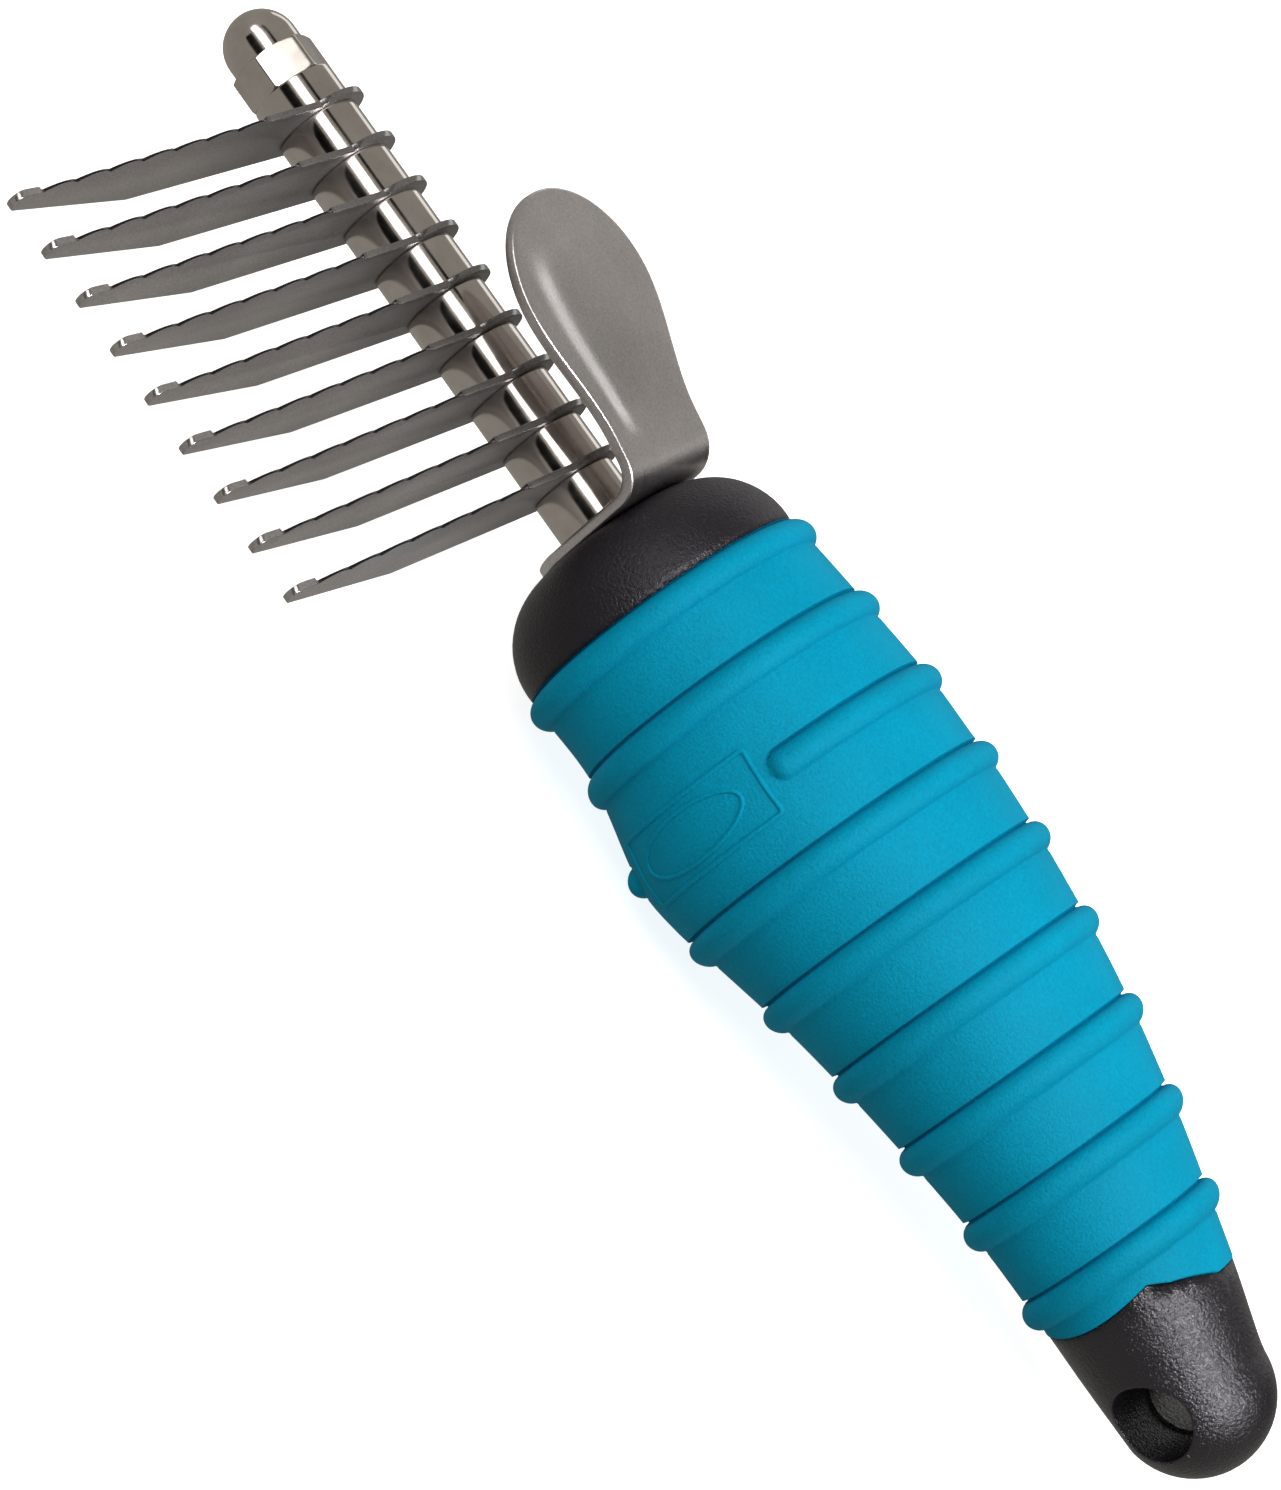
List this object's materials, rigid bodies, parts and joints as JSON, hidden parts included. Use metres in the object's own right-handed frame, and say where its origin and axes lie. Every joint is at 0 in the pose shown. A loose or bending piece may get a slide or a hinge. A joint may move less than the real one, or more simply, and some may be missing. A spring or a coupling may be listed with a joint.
{
  "type": "undercoat rake",
  "caption": "Pet undercoat rake: a row of curved-tooth blades on a post, a steel thumb rest, and a ribbed tapered handle with a hanging hole.",
  "frame": {"origin": "centre of the hanging hole through the handle's tail", "axes": "+X along the post, from the handle to the cap nut; +Y the way the blades point and along the hanging hole; +Z the side the thumb rest is on"},
  "size_m": [0.2128, 0.0813, 0.0459],
  "materials": {
    "black_plastic": "satin",
    "teal_grip": "matte",
    "insert_brass": "satin",
    "rod_steel": "satin",
    "plate_steel": "satin",
    "blade_steel": "satin",
    "polished_steel": "polished"
  },
  "bodies": {
    "rake": {"handle_core": "black_plastic", "grip_sleeve": "teal_grip", "post_insert": "insert_brass", "threaded_rod": "rod_steel", "thumb_rest": "plate_steel", "base_spacer": "polished_steel", "blade_1": "blade_steel", "blade_2": "blade_steel", "blade_3": "blade_steel", "blade_4": "blade_steel", "blade_5": "blade_steel", "blade_6": "blade_steel", "blade_7": "blade_steel", "blade_8": "blade_steel", "blade_9": "blade_steel", "spacer_1": "polished_steel", "spacer_2": "polished_steel", "spacer_3": "polished_steel", "spacer_4": "polished_steel", "spacer_5": "polished_steel", "spacer_6": "polished_steel", "spacer_7": "polished_steel", "spacer_8": "polished_steel"},
    "collar": {"end_collar": "polished_steel"},
    "nut": {"cap_nut": "polished_steel"}
  },
  "joints": [
    {"name": "nut_travel", "type": "slide", "parent": "rake", "child": "collar", "axis": [1, 0, 0], "range_m": [0, 0.006]},
    {"name": "nut_turn", "type": "hinge", "parent": "collar", "child": "nut", "pos_m": [0.2, 0, 0.0043], "axis": [1, 0, 0], "range_deg": [0, 2161]}
  ],
  "couplings": [
    {"joint": "nut_turn", "follows": "nut_travel", "rad_per_m": 6283.2}
  ]
}
